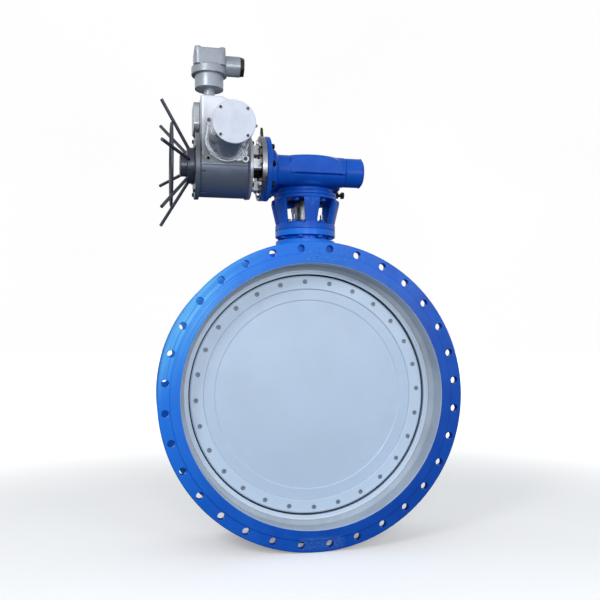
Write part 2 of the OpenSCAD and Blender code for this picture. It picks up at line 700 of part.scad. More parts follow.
module motor_drum() color("silver") difference() {
    union() {
        at_motor(front_y - drum_l + 10) cylinder(d = drum_d, h = drum_l - 12);
        at_motor(front_y - 14) cylinder(r = 96, h = 14 - slack);
        drum_screw_places() translate([0, 0, -14]) cylinder(r = 16, h = 14 - slack, $fn = 32);
        drum_screw_places() translate([-113, 0, -13]) linear_extrude(12.5)
            polygon([[70, -52], [106, -21], [106, 21], [70, 52]]);
        at_motor(front_y - 1) cylinder(r = 60 - slack, h = 10);
    }
    at_motor(front_y - drum_l) cylinder(r = 77.2, h = drum_l - 24);
    at_motor(front_y - 40) cylinder(r = 30, h = 80);
    drum_screw_places() translate([0, 0, -20]) cylinder(r = 5.6, h = 40, $fn = 32);
    earth_screw_place() translate([0, 0, -0.5]) cylinder(r = 4 + slack, h = 20, $fn = 32);
}

module motor_cover() color("gainsboro") difference() {
    union() {
        at_motor(front_y - drum_l) cylinder(r1 = drum_d / 2 - 2, r2 = drum_d / 2, h = 2);
        at_motor(front_y - drum_l + 2) cylinder(d = drum_d, h = 8 - slack);
        at_motor(front_y - drum_l + 9) cylinder(r = 77, h = 8);
    }
    at_motor(-300) cylinder(r = motor_shaft_r + running, h = 40);
}

module drum_screws() color("silver") {
    drum_screw_places() translate([0, 0, -22])
        difference() {
            union() {
                cylinder(r = 8, h = 8 - slack, $fn = 32);
                cylinder(r = 5, h = 34, $fn = 32);
            }
            translate([0, 0, -1]) hexagon(8, 5);
        }
    for (a = [45:90:315]) at_motor(front_y - drum_l - 4) rotate([0, 0, a]) translate([77, 0, 0])
        difference() {
            cylinder(r = 6, h = 4 - slack, $fn = 32);
            translate([0, 0, -1]) hexagon(5, 3);
        }
    earth_screw_place() {
        cylinder(r = 4, h = 8, $fn = 32);
        translate([0, 0, 7.2]) hexagon(13, 6);
        translate([0, 0, 13]) cylinder(r = 3.5, h = 4, $fn = 32);
    }
}

module control_cover() color("silver") difference() {
    translate([housing_left - 26, drive_y, 1250]) along_x() rotate([0, 0, 90])
        rounded_block([-80, -62, 0], [160, 124, 25 - slack], 30);
    translate([housing_left - 14, drive_y, 1250]) along_x() rotate([0, 0, 90])
        rounded_block([-70, -52, 0], [140, 104, 25], 24);
}

module switch_unit() color("dimgray") {
    translate([-490, drive_y - 50, 1212]) cube([150, 100, 8]);
    for (x = [-470, -430, -390], y = [drive_y - 36, drive_y + 8])
        translate([x, y, 1219]) cube([28, 28, 44]);
    for (x = [-456, -416, -376]) translate([x, drive_y, 1219]) cylinder(r = 7, h = 56, $fn = 32);
}

// ---------- handwheel ----------

hub_right = housing_left - 20.6;
spoke_root = [hub_right - 18, 62];
spoke_tip = [-685, spoke_tip_r];
spoke_run = spoke_tip - spoke_root;
spoke_lean = atan2(-spoke_run[0], spoke_run[1]);
spoke_thick = 7.5;
ring_x = spoke_root[0] + spoke_run[0] * (wheel_ring_r - spoke_root[1]) / spoke_run[1] - 13;
first_spoke = 22;

module handwheel_hub() color("dimgray") difference() {
    union() {
        at_drive(hub_right - 33) cylinder(r = 80, h = 33);
        at_drive(hub_right - 61) cylinder(r = 50, h = 29);
        at_drive(hub_right - 64) cylinder(r1 = 46, r2 = 50, h = 3.1);
    }
    at_drive(hub_right - 40) cylinder(r = sleeve_r, h = 60);
    spoke_places(0.02) cylinder(r = spoke_thick, h = 300, $fn = 32);
}

// Places along each spoke's axis, with +Z running from its root to its tip.
module spoke_places(start) at_drive(0) for (i = [0:spokes - 1])
    rotate([0, 0, 180 + first_spoke + i * 360 / spokes]) translate([spoke_root[1], 0, spoke_root[0]])
        rotate([0, 90 + spoke_lean, 0]) translate([0, 0, start]) children();

module handwheel_spokes() color("dimgray") spoke_places(0.02)
    cylinder(r = spoke_thick - slack, h = norm(spoke_run), $fn = 32);

module handwheel_ring() color("dimgray") at_drive(ring_x) rotate_extrude() translate([wheel_ring_r, 0])
    circle(r = 6, $fn = 32);

// ---------- terminal box ----------

base_z = 1388;
joint_z = 1450;
hood_top = 1562;

module at_terminal(z) translate([terminal_x, drive_y, z]) children();

module terminal_base() color("silver") {
    at_terminal(box_top + 8 + slack) difference() {
        union() {
            hexagon(58, 18);
            translate([0, 0, 17]) cylinder(r = 29, h = 12);
            cylinder(r = 25, h = base_z - box_top - 7);
        }
        translate([0, 0, -1]) cylinder(r = 17, h = 100);
    }
    difference() {
        at_terminal(base_z) cylinder(r = 64.5, h = joint_z - base_z + 14);
        at_terminal(base_z + 8) cylinder(r = 56, h = 90);
        at_terminal(base_z - 1) cylinder(r = 17, h = 20);
    }
}

gland_z = 1502;
gland_start = 139;

module terminal_hood() color("silver") difference() {
    union() {
        at_terminal(joint_z) cylinder(r = 80, h = 36);
        at_terminal(joint_z + 34) rounded_block([-70, -70, 0], [140, 140, hood_top - joint_z - 42], 22);
        at_terminal(hood_top - 10) rounded_block([-66, -66, 0], [132, 132, 6], 20);
        for (x = [-54, 54], y = [-54, 54]) at_terminal(hood_top - 26) translate([x, y, 0]) cylinder(r = 15, h = 26, $fn = 32);
        translate([terminal_x + 62, drive_y, gland_z]) along_x() cylinder(r = 45, h = gland_start - 62);
    }
    at_terminal(joint_z - 30) cylinder(r = 65, h = 64);
    at_terminal(joint_z + 30) cylinder(r = 58, h = hood_top - joint_z - 46);
    translate([terminal_x, drive_y, gland_z]) along_x() cylinder(r = 30, h = 160);
}

module cable_gland() color("dimgray") translate([terminal_x + gland_start, drive_y, gland_z])
    along_x() difference() {
    union() {
        translate([0, 0, slack]) cylinder(r = 43, h = 6);
        translate([0, 0, 6]) hexagon(76, 12);
        translate([0, 0, -30]) cylinder(r = 30 - slack, h = 40);
    }
    translate([0, 0, -40]) cylinder(r = 18, h = 80);
}

valve_body();
body_seat_ring();
disc();
disc_seal_ring();
seal_retaining_ring();
retaining_ring_screws();
upper_stem();
lower_stem();
disc_pins();
upper_bearing();
lower_bearing();
packing_rings();
packing_gland();
gland_studs();
gland_nuts();
thrust_pad();
bottom_cover();
bottom_gasket();
bottom_cover_bolts();
yoke();
yoke_base_bolts();
yoke_top_bolts();
gearbox_housing();
gearbox_cover();
cover_screws();
position_indicator();
indicator_plate();
worm_wheel();
drive_bush();
stem_key();
worm();
worm_shaft();
worm_bearings();
worm_end_cap();
travel_stops();
adapter_plate();
adapter_bolts();
adapter_posts();
shaft_coupling();
actuator_housing();
output_flange();
end_plate();
housing_screws();
drive_sleeve();
sleeve_bearings();
drive_gear();
motor_shaft();
motor_rotor();
motor_stator();
motor_drum();
motor_cover();
drum_screws();
control_cover();
switch_unit();
handwheel_hub();
handwheel_spokes();
handwheel_ring();
terminal_base();
terminal_hood();
cable_gland();
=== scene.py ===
"""Looks for a double-flanged butterfly valve with a worm gearbox and an electric actuator.

Metres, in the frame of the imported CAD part: +Y runs along the pipe, +Z up the stem, and the drive shaft
lies along X. Every CAD node keeps its place; castings that need rounder corners are rebuilt from their
own node and stand for it.
"""
import math

import bpy
from mathutils import Matrix, Vector


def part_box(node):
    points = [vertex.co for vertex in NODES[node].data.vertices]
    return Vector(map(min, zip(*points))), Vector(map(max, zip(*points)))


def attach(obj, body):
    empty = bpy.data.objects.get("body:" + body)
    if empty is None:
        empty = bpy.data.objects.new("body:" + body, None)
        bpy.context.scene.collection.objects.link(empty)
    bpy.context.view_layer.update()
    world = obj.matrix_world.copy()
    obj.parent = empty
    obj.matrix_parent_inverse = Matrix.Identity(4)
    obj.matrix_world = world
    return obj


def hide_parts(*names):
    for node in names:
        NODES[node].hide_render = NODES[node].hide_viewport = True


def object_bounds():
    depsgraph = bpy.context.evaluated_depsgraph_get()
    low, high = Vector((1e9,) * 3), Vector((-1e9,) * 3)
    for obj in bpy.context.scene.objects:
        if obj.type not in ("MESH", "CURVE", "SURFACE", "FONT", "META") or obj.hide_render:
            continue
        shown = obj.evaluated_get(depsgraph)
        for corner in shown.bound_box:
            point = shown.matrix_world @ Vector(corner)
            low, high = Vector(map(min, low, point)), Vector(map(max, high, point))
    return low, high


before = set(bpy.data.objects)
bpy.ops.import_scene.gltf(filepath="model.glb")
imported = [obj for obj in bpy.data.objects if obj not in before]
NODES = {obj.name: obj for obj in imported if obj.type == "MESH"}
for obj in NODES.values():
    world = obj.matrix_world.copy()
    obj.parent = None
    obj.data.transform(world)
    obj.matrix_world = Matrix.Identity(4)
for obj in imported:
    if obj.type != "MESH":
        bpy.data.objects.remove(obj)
CAD_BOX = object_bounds()


# ---------------------------------------------------------------- places, from the frame

def middle(node):
    low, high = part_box(node)
    return (low + high) / 2


def half_width(node, axis):
    low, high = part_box(node)
    return (high[axis] - low[axis]) / 2


X, Y, Z = range(3)
PIPE_AXIS = Vector((0, 0, 0))
DRIVE = middle("worm_shaft")
MOTOR = middle("motor_rotor")
FLANGE_R = half_width("valve_body", X)
RING_R = half_width("seal_retaining_ring", Z)
PLATE_R = half_width("adapter_plate", Y)
# Pale epoxy inside this radius, blue enamel outside it
WATERWAY_R = 0.6032
# How much of the retaining ring's outer edge is painted black, as the seal's edge and as painted shade of
# the gap beside it
SEAL_AND_GAP_SHADE_BAND = 0.0045
# The actuator's box meets its round lower part at this height
SEAM_Z = DRIVE.z - 0.014
# The paint of the front flange is scraped in two boxes, each given by its low and high corner
SCUFF_R = FLANGE_R * 0.92
SCUFF_ABOVE = ((-0.05, -0.01, SCUFF_R - 0.030), (0.15, 0.01, SCUFF_R + 0.010))
SCUFF_BELOW = ((-0.06, -0.01, -SCUFF_R - 0.030), (0.12, 0.01, -SCUFF_R))


# ---------------------------------------------------------------- building materials

# Sockets of the Mix node when it mixes colours
COLOUR_A, COLOUR_B, COLOUR_OUT = 6, 7, 2


class Finish:
    """A material made of shader nodes, built with short calls. Values may be numbers or node outputs."""

    def __init__(self, name, **sockets):
        self.material = bpy.data.materials.new(name)
        self.material.use_nodes = True
        self.tree = self.material.node_tree
        self.shader = self.tree.nodes["Principled BSDF"]
        for socket, value in sockets.items():
            self.join(value, self.shader.inputs[socket.replace("_", " ")])

    def join(self, value, socket):
        if isinstance(value, bpy.types.NodeSocket):
            self.tree.links.new(value, socket)
        elif isinstance(value, tuple) and len(value) == 3 and socket.type == "RGBA":
            socket.default_value = (*value, 1)
        else:
            socket.default_value = value

    def add(self, kind, inputs=(), **settings):
        made = self.tree.nodes.new("ShaderNode" + kind)
        for name, value in settings.items():
            setattr(made, name, value)
        for key, value in dict(inputs).items():
            self.join(value, made.inputs[key])
        return made

    def place(self):
        """Where the surface is, in the part's own frame at rest."""
        return self.add("TexCoord").outputs["Object"]

    def math(self, operation, a, b=0.0):
        return self.add("Math", {0: a, 1: b}, operation=operation).outputs[0]

    def noise(self, scale, detail=3.0, roughness=0.5, vector=None, distortion=0.0):
        settings = {"Vector": vector or self.place(), "Scale": scale, "Detail": detail,
                    "Roughness": roughness, "Distortion": distortion}
        return self.add("TexNoise", settings).outputs["Fac"]

    def between(self, value, low, high, to_low=0.0, to_high=1.0, smooth=True):
        """value's range low..high stretched to to_low..to_high, and held there outside it."""
        kind = "SMOOTHSTEP" if smooth else "LINEAR"
        settings = {"Value": value, "From Min": low, "From Max": high, "To Min": to_low, "To Max": to_high}
        return self.add("MapRange", settings, interpolation_type=kind).outputs[0]

    def mix(self, share, a, b):
        """Colour a where share is 0 and colour b where it is 1."""
        made = self.add("Mix", data_type="RGBA")
        self.join(share, made.inputs["Factor"])
        self.join(a, made.inputs[COLOUR_A])
        self.join(b, made.inputs[COLOUR_B])
        return made.outputs[COLOUR_OUT]

    def bump(self, height, distance, strength=1.0, normal=None):
        inputs = {"Height": height, "Distance": distance, "Strength": strength}
        if normal:
            inputs["Normal"] = normal
        return self.add("Bump", inputs).outputs[0]

    def split(self, vector=None):
        return self.add("SeparateXYZ", {0: vector or self.place()}).outputs

    def facing(self, axis):
        """1 where the surface looks along an axis, either way, and 0 where it runs beside it."""
        return self.math("ABSOLUTE", self.split(self.add("NewGeometry").outputs["Normal"])[axis])

    def round_pipe(self):
        """The direction round the pipe's axis, for a sheen that follows turned lines."""
        return self.add("Tangent", direction_type="RADIAL", axis="Y").outputs[0]

    def about(self, axis, centre):
        """(distance from an axis through centre, place along it, angle round it)."""
        parts = self.split()
        others = [i for i in range(3) if i != axis]
        a, b = (self.math("SUBTRACT", parts[i], centre[i]) for i in others)
        squares = self.math("ADD", self.math("MULTIPLY", a, a), self.math("MULTIPLY", b, b))
        return self.math("SQRT", squares), parts[axis], self.math("ARCTAN2", b, a)

    def turned(self, axis, centre, across, round_=0.6):
        """Fine tool marks that run round an axis."""
        radius, along, angle = self.about(axis, centre)
        vector = self.add("CombineXYZ", {0: self.math("MULTIPLY", radius, across),
                                         1: self.math("MULTIPLY", along, across),
                                         2: self.math("MULTIPLY", angle, round_)}).outputs[0]
        return self.noise(1.0, 2.0, 0.6, vector)

    def finish(self, **sockets):
        for socket, value in sockets.items():
            self.join(value, self.shader.inputs[socket.replace("_", " ")])
        return self.material


# ---------------------------------------------------------------- colours and finishes

BLUE = (0.004, 0.080, 0.50)
BLUE_LIGHT = (0.007, 0.112, 0.60)
BLUE_DARK = (0.003, 0.043, 0.31)
BLUE_SCRAPED = (0.16, 0.36, 0.80)
# Painted light on the body's enamel: azure where it stands lit at the upper left, and a painted sheen in two
# tones
AZURE_PAINTED_LIGHT = (0.005, 0.195, 0.84)
SHEEN = (0.035, 0.36, 0.86)
SHEEN_LINE = (0.15, 0.62, 0.98)
PALE = (0.50, 0.64, 0.83)
EPOXY = (0.44, 0.51, 0.60)
DRUM_LIGHT = (0.60, 0.64, 0.70)
DRUM_DARK = (0.51, 0.55, 0.61)
DRUM_FACE = (0.40, 0.43, 0.48)
SILVER = (0.66, 0.70, 0.80)
# Painted shade on the lower part of the actuator's box
SILVER_PAINTED_SHADE = (0.10, 0.115, 0.14)
SLATE = (0.105, 0.135, 0.195)
OILED_AND_SHADED = (0.035, 0.037, 0.042)
OILED_RUBBED = (0.16, 0.165, 0.175)
PLATE_RIM = (0.34, 0.35, 0.38)
ZINC = (0.74, 0.76, 0.80)
ZINC_DULL = (0.52, 0.54, 0.58)
SCREW = (0.10, 0.105, 0.115)
SCREW_DARK = (0.05, 0.052, 0.058)
BRASS = (0.62, 0.42, 0.12)
BRASS_DULL = (0.44, 0.29, 0.09)
BLACK = (0.018, 0.018, 0.020)


def shade(colour, share):
    return tuple(share * c for c in colour)


def paint_bump(f, coarse=28.0, fine=420.0, depth=0.0006):
    """Slight waves of a cast surface under paint, with orange peel over them."""
    waves = f.bump(f.noise(coarse, 3.0), depth, 0.35)
    return f.bump(f.noise(fine, 2.0), depth * 0.25, 0.25, waves)


def blue_colour(f):
    thin = f.between(f.noise(5.0, 4.0, 0.6), 0.35, 0.68)
    colour = f.mix(thin, BLUE, BLUE_LIGHT)
    dull = f.between(f.noise(46.0, 5.0, 0.7), 0.60, 0.78, 0.0, 0.35)
    return f.mix(dull, colour, BLUE_DARK)


def blue_paint():
    f = Finish("blue_enamel", Specular_IOR_Level=0.16, Coat_Weight=0.03, Coat_Roughness=0.15)
    rough = f.between(f.noise(18.0, 4.0), 0.3, 0.75, 0.32, 0.48)
    return f.finish(Base_Color=blue_colour(f), Roughness=rough, Normal=paint_bump(f))


def patch(f, low, high, soft):
    """1 inside a box of the part's frame and 0 outside it, with an edge as wide as soft."""
    shares = []
    for value, start, end in zip(f.split(), low, high):
        shares.append(f.between(value, start - soft, start))
        shares.append(f.between(value, end, end + soft, 1.0, 0.0))
    whole = shares[0]
    for share in shares[1:]:
        whole = f.math("MULTIPLY", whole, share)
    return whole


def scuffs(f):
    """Where the paint of the front flange is scraped: short streaks at its top and bottom."""
    places = f.math("MAXIMUM", patch(f, *SCUFF_ABOVE, 0.02), patch(f, *SCUFF_BELOW, 0.02))
    stretch = f.add("VectorMath", {0: f.place(), 1: (70.0, 1.0, 420.0)}, operation="MULTIPLY").outputs[0]
    streaks = f.noise(1.0, 4.0, 0.65, stretch, 0.6)
    return f.math("MULTIPLY", places, f.between(streaks, 0.46, 0.66)), f.math("MULTIPLY", places, streaks)


def body_blue(f, facing, bare):
    """Enamel with painted light and shade: azure at the upper left, darkening to dark blue at the lower
    right as painted shade, with painted sheen streaks on the flange faces.
    """
    x, _, z = f.split()
    slant = f.math("SUBTRACT", f.math("MULTIPLY", x, 0.8), f.math("MULTIPLY", z, 0.6))
    across = f.math("ADD", slant, f.math("MULTIPLY", f.noise(2.5, 3.0), 0.2))
    # painted light: azure towards the upper left
    painted_lit_blue = f.mix(f.between(across, -0.75, 0.35), AZURE_PAINTED_LIGHT, blue_colour(f))
    lines = f.turned(Y, PIPE_AXIS, 160.0, 1.0)
    # painted sheen: lighter streaks along the turned lines of the flange faces, towards the upper left
    streaks = f.math("MULTIPLY", f.between(lines, 0.40, 0.62), f.between(facing, 0.9, 0.98))
    sheen = f.mix(f.between(across, -0.68, -0.42), f.mix(streaks, SHEEN, SHEEN_LINE), painted_lit_blue)
    # painted shade: darker blue towards the lower right
    painted_shade_blue = f.mix(f.between(across, 0.1, 0.95, 0.0, 0.5), sheen, BLUE_DARK)
    return f.mix(f.math("MULTIPLY", bare, 0.45), painted_shade_blue, BLUE_SCRAPED)


def body_bump(f, on_face, waterway, lumps):
    """Turned grooves on the flange faces, long sweeps in the waterway, and scraped patches over them."""
    cut = f.math("MULTIPLY", on_face, 0.8)
    grooves = f.bump(f.turned(Y, PIPE_AXIS, 300.0, 1.2), 0.0008, cut, paint_bump(f))
    swept = f.bump(f.turned(Y, PIPE_AXIS, 70.0, 2.0), 0.0010, f.math("MULTIPLY", waterway, 0.2), grooves)
    return f.bump(lumps, 0.0022, 0.9, swept)


def body_paint():
    """Blue enamel outside, with painted light and shade across it and turned rings showing on the flange
    faces, and pale epoxy in the waterway.
    """
    f = Finish("body_enamel", Specular_IOR_Level=0.16, Coat_Weight=0.03, Coat_Roughness=0.18)
    brushed_edge = f.math("MULTIPLY", f.noise(60.0, 2.0), 0.0016)
    radius = f.math("ADD", f.about(Y, PIPE_AXIS)[0], brushed_edge)
    waterway = f.between(radius, WATERWAY_R, WATERWAY_R + 0.0008, 1.0, 0.0)
    grime = f.between(f.noise(3.5, 5.0, 0.65), 0.42, 0.7)
    epoxy = f.mix(grime, EPOXY, shade(EPOXY, 0.82))
    bare, lumps = scuffs(f)
    facing = f.facing(Y)
    on_face = f.math("MULTIPLY", f.between(facing, 0.9, 0.98), f.between(f.noise(2.2, 2.0), 0.30, 0.62))
    painted = f.between(f.noise(14.0, 4.0), 0.3, 0.75, 0.30, 0.42)
    rough = f.math("MAXIMUM", painted, f.math("MULTIPLY", waterway, 0.46))
    return f.finish(Base_Color=f.mix(waterway, body_blue(f, facing, bare), epoxy), Roughness=rough,
                    Normal=body_bump(f, on_face, waterway, lumps),
                    Anisotropic=f.math("MULTIPLY", on_face, 0.6), Tangent=f.round_pipe())


def disc_paint(name, tint, seal_from=None):
    """Pale epoxy, with a black line outside the radius seal_from, if there is one: the seal's edge, and
    painted shade of the gap beside it.
    """
    f = Finish(name, Coat_Weight=0.1, Coat_Roughness=0.3)
    cloud = f.between(f.noise(2.4, 4.0, 0.6), 0.35, 0.7)
    colour = f.mix(cloud, tint, shade(tint, 0.93))
    if seal_from is not None:
        colour = f.mix(f.between(f.about(Y, PIPE_AXIS)[0], seal_from, seal_from + 0.0008), colour, BLACK)
    swirl = f.turned(Y, PIPE_AXIS, 50.0, 3.0)
    normal = f.bump(swirl, 0.0003, 0.12, paint_bump(f, 30.0, 500.0, 0.0002))
    rough = f.between(f.noise(9.0, 4.0), 0.3, 0.75, 0.42, 0.55)
    return f.finish(Base_Color=colour, Roughness=rough, Normal=normal)


def bright_metal(name, colour, roughness):
    """Machined or plated metal with smears and a fine grain."""
    f = Finish(name, Metallic=1.0)
    smear = f.between(f.noise(34.0, 4.0, 0.6), 0.35, 0.72)
    tone = f.mix(smear, colour, shade(colour, 0.74))
    rough = f.between(f.noise(60.0, 3.0), 0.3, 0.7, roughness * 0.8, roughness * 1.3)
    grain = f.bump(f.noise(700.0, 2.0), 0.00012, 0.6)
    return f.finish(Base_Color=tone, Roughness=rough, Normal=grain)


def turned_drum():
    """The drum's turned aluminium: shiny round its side, and duller on the faces across its axis."""
    f = Finish("turned_aluminium", Metallic=1.0, Anisotropic=0.8)
    across = f.between(f.facing(Y), 0.5, 0.8)
    band = f.between(f.turned(Y, MOTOR, 160.0, 0.5), 0.3, 0.7)
    side = f.mix(band, DRUM_LIGHT, DRUM_DARK)
    marks = f.turned(Y, MOTOR, 420.0, 0.5)
    rough = f.math("MAXIMUM", f.between(marks, 0.3, 0.7, 0.20, 0.29), f.math("MULTIPLY", across, 0.5))
    depth = f.between(f.facing(Y), 0.5, 0.8, 0.3, 0.0)
    return f.finish(Base_Color=f.mix(across, side, DRUM_FACE), Roughness=rough, Tangent=f.round_pipe(),
                    Normal=f.bump(marks, 0.00003, depth))


def lacquer(f, colour, roughness):
    """Colour, roughness and normal of sand-cast aluminium under a thin grey lacquer."""
    patches = f.between(f.noise(7.0, 5.0, 0.62), 0.38, 0.7)
    tone = f.mix(patches, colour, shade(colour, 0.84))
    speck = f.between(f.noise(420.0, 2.0), 0.62, 0.72, 0.0, 0.2)
    tone = f.mix(speck, tone, shade(colour, 0.55))
    grain = f.bump(f.noise(520.0, 3.0, 0.6), 0.0002, 0.4, f.bump(f.noise(60.0, 3.0), 0.0005, 0.3))
    rough = f.between(f.noise(25.0, 4.0), 0.3, 0.7, roughness * 0.85, roughness * 1.2)
    return tone, rough, grain


def cast_metal(name, colour, metallic, roughness):
    """Sand-cast aluminium in one colour."""
    f = Finish(name, Metallic=metallic)
    tone, rough, grain = lacquer(f, colour, roughness)
    return f.finish(Base_Color=tone, Roughness=rough, Normal=grain)


def housing_coat():
    """Silver lacquer on the actuator's box, with painted shade darkening it lower down, and slate lacquer on
    its round lower part.
    """
    f = Finish("housing_lacquer", Metallic=0.25)
    tone, rough, grain = lacquer(f, SILVER, 0.4)
    height = f.split()[Z]
    low = f.between(f.math("ADD", height, f.math("MULTIPLY", f.noise(80.0), 0.002)),
                    SEAM_Z - 0.001, SEAM_Z + 0.001, 1.0, 0.0)
    # painted shade: the silver darkens towards the seam, on the end plate too
    painted_lit_share = f.between(f.math("ADD", height, f.math("MULTIPLY", f.noise(9.0, 4.0), 0.06)),
                     SEAM_Z + 0.08, SEAM_Z + 0.32)
    upper = f.mix(painted_lit_share, SILVER_PAINTED_SHADE, tone)
    return f.finish(Base_Color=f.mix(low, upper, SLATE), Roughness=rough, Normal=grain)


def dark_coat(name, colour, roughness, metallic=0.0):
    """Dark paint or black oxide with rubbed lighter patches."""
    f = Finish(name, Metallic=metallic)
    rubbed = f.between(f.noise(24.0, 5.0, 0.65), 0.56, 0.8, 0.0, 0.6)
    tone = f.mix(rubbed, colour, tuple(min(1, 1.9 * c + 0.01) for c in colour))
    rough = f.between(f.noise(50.0, 3.0), 0.3, 0.7, roughness * 0.8, roughness * 1.25)
    return f.finish(Base_Color=tone, Roughness=rough, Normal=f.bump(f.noise(300.0, 3.0), 0.0002, 0.4))


def plate_steel():
    """The adapter plate: a bright turned rim round black faces, oiled steel and painted shade of the cavity
    round the coupling.
    """
    f = Finish("plate_steel", Metallic=1.0)
    radius = f.about(X, DRIVE)[0]
    rim = f.math("MULTIPLY", f.between(radius, PLATE_R - 0.001, PLATE_R - 0.0004),
                 f.between(radius, PLATE_R + 0.001, PLATE_R + 0.002, 1.0, 0.0))
    rubbed = f.between(f.noise(30.0, 5.0, 0.6), 0.5, 0.75, 0.0, 0.5)
    # black faces: oiled steel, and painted shade of the cavity beside them
    tone = f.mix(rim, f.mix(rubbed, OILED_AND_SHADED, OILED_RUBBED), PLATE_RIM)
    marks = f.bump(f.turned(X, DRIVE, 700.0), 0.0001, 0.5)
    rough = f.between(f.noise(60.0, 3.0), 0.3, 0.7, 0.26, 0.42)
    return f.finish(Base_Color=tone, Roughness=rough, Normal=marks)


def plate_bolts():
    """The adapter's bolts: zinc plated, with black nuts on the gearbox's side."""
    f = Finish("adapter_bolt_plating", Metallic=1.0)
    nut_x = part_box("adapter_plate")[1].x + 0.004
    black = f.between(f.split()[X], nut_x, nut_x + 0.001)
    bright = f.mix(f.between(f.noise(40.0, 4.0), 0.35, 0.7), ZINC, ZINC_DULL)
    rough = f.between(f.noise(60.0, 3.0), 0.3, 0.7, 0.26, 0.40)
    return f.finish(Base_Color=f.mix(black, bright, BLACK), Roughness=rough,
                    Normal=f.bump(f.noise(500.0, 2.0), 0.0001, 0.4))


def drum_screw_metal():
    """Black socket screws, and brass for the earth screw that stands out of the drum's side."""
    f = Finish("drum_screw_metal", Metallic=1.0)
    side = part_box("motor_drum")[1].x - 0.012
    front = middle("motor_drum").y
    x, y, _ = f.split()
    outside = f.math("MULTIPLY", f.between(x, side, side + 0.001),
                     f.between(y, front, front + 0.001, 1.0, 0.0))
    smear = f.between(f.noise(60.0, 4.0), 0.35, 0.7)
    colour = f.mix(outside, f.mix(smear, SCREW, SCREW_DARK), f.mix(smear, BRASS, BRASS_DULL))
    rough = f.between(f.noise(80.0, 3.0), 0.3, 0.7, 0.25, 0.4)
    return f.finish(Base_Color=colour, Roughness=rough, Normal=f.bump(f.noise(500.0, 2.0), 0.0001, 0.4))


MATERIALS = {
    "blue": blue_paint(),
    "body": body_paint(),
    "disc": disc_paint("disc_enamel", PALE),
    # the ring's outer edge is painted black: the seal's edge and painted shade of the gap
    "ring": disc_paint("ring_enamel", (0.55, 0.69, 0.87), seal_from=RING_R - SEAL_AND_GAP_SHADE_BAND),
    # The ring's screws: ring enamel darkened as painted shade of their recesses
    "socket": disc_paint("screw_enamel_painted_shade", (0.20, 0.25, 0.32)),
    "seat": disc_paint("seat_enamel", (0.56, 0.68, 0.84)),
    "zinc": bright_metal("zinc_plate", (0.72, 0.75, 0.80), roughness=0.30),
    "steel": bright_metal("ground_steel", (0.60, 0.61, 0.63), roughness=0.28),
    # Dark steel for the stem and gland studs: oiled, and darker still as painted shade inside the yoke
    "stem": bright_metal("oiled_steel_painted_shade", (0.22, 0.235, 0.26), roughness=0.30),
    "drum": turned_drum(),
    "bronze": bright_metal("bronze", (0.55, 0.34, 0.13), roughness=0.36),
    "drum_screws": drum_screw_metal(),
    "plate": plate_steel(),
    "bolts": plate_bolts(),
    "housing": housing_coat(),
    "cast": cast_metal("cast_aluminium", (0.40, 0.44, 0.50), metallic=0.4, roughness=0.38),
    "post": cast_metal("post_aluminium", (0.78, 0.80, 0.84), metallic=0.2, roughness=0.45),
    "cover": cast_metal("motor_cover_lacquer", (0.60, 0.655, 0.78), metallic=0.05, roughness=0.5),
    "box": cast_metal("terminal_lacquer", (0.33, 0.37, 0.43), metallic=0.4, roughness=0.38),
    "black": dark_coat("black_oxide", BLACK, roughness=0.42, metallic=0.5),
    "rubber": dark_coat("rubber", (0.012, 0.013, 0.015), roughness=0.6),
    "wheel": dark_coat("handwheel_enamel", (0.055, 0.062, 0.092), roughness=0.36, metallic=0.3),
    "copper": bright_metal("copper", (0.62, 0.26, 0.12), roughness=0.4),
    "plastic": dark_coat("plastic", (0.03, 0.03, 0.035), roughness=0.5),
    "red": dark_coat("indicator_red", (0.45, 0.02, 0.015), roughness=0.4),
    "white": dark_coat("indicator_white", (0.72, 0.72, 0.70), roughness=0.45),
}

FINISHES = {
    "body": ["valve_body"],
    "blue": ["packing_gland", "gland_nuts", "bottom_cover", "bottom_cover_bolts", "yoke", "yoke_base_bolts",
             "yoke_top_bolts", "gearbox_housing", "gearbox_cover", "worm_end_cap"],
    "disc": ["disc"],
    "ring": ["seal_retaining_ring"],
    "socket": ["retaining_ring_screws"],
    "seat": ["body_seat_ring"],
    "rubber": ["disc_seal_ring", "bottom_gasket", "packing_rings"],
    "zinc": ["cover_screws"],
    "drum_screws": ["drum_screws"],
    "stem": ["upper_stem", "gland_studs"],
    "steel": ["lower_stem", "disc_pins", "worm_shaft", "worm_bearings", "stem_key", "drive_bush",
              "sleeve_bearings", "motor_shaft", "drive_sleeve", "worm"],
    "bronze": ["upper_bearing", "lower_bearing", "thrust_pad", "worm_wheel", "drive_gear"],
    # The shaft coupling is black oxide, and its black also stands as painted shade of the cavity round it
    "black": ["travel_stops", "shaft_coupling", "motor_rotor", "cable_gland", "housing_screws"],
    "plate": ["adapter_plate"],
    "bolts": ["adapter_bolts"],
    "housing": ["actuator_housing", "end_plate"],
    "cast": ["output_flange", "control_cover"],
    "post": ["adapter_posts"],
    "drum": ["motor_drum"],
    "cover": ["motor_cover"],
    "box": ["terminal_base", "terminal_hood"],
    "wheel": ["handwheel_hub", "handwheel_spokes", "handwheel_ring"],
    "copper": ["motor_stator"],
    "plastic": ["switch_unit"],
    "red": ["position_indicator"],
    "white": ["indicator_plate"],
}


def give(obj, material):
    obj.data.materials.clear()
    obj.data.materials.append(MATERIALS[material])


for finish, names in FINISHES.items():
    for name in names:
        give(NODES[name], finish)


# ---------------------------------------------------------------- edges and castings

